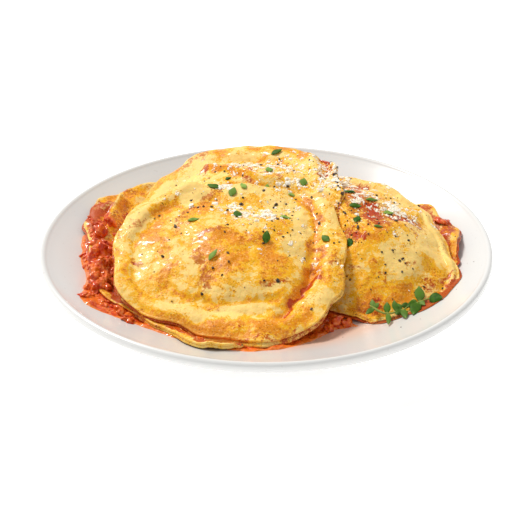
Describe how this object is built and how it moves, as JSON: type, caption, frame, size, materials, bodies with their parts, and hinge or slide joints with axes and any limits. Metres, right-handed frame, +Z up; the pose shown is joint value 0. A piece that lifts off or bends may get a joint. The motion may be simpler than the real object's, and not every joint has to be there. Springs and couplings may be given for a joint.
{
  "type": "plate of ravioli",
  "caption": "Round filled ravioli piled on a shallow white coupe plate in a chunky meat and tomato sauce, finished with grated cheese, cracked pepper and a sprig of thyme",
  "frame": {"origin": "centre of the plate's foot ring, on the surface the plate stands on", "axes": "+Z up, +X to the diner's right, -Y towards the diner; right-handed"},
  "size_m": [0.2, 0.2, 0.0412],
  "materials": {
    "porcelain": "smooth white glazed porcelain",
    "pasta": "moist baked egg pasta, cream to golden, with browned patches",
    "sauce": "wet chunky meat and tomato sauce",
    "thyme": "fresh soft green leaf",
    "cheese": "finely grated hard cheese",
    "pepper": "cracked black pepper"
  },
  "bodies": {
    "root": {"plate": "porcelain", "raviolo_front": "pasta", "raviolo_back": "pasta", "raviolo_right": "pasta", "raviolo_lower_right": "pasta", "raviolo_lower_left": "pasta", "raviolo_lower_front": "pasta", "sauce": "sauce", "thyme_sprig": "thyme"}
  },
  "joints": []
}
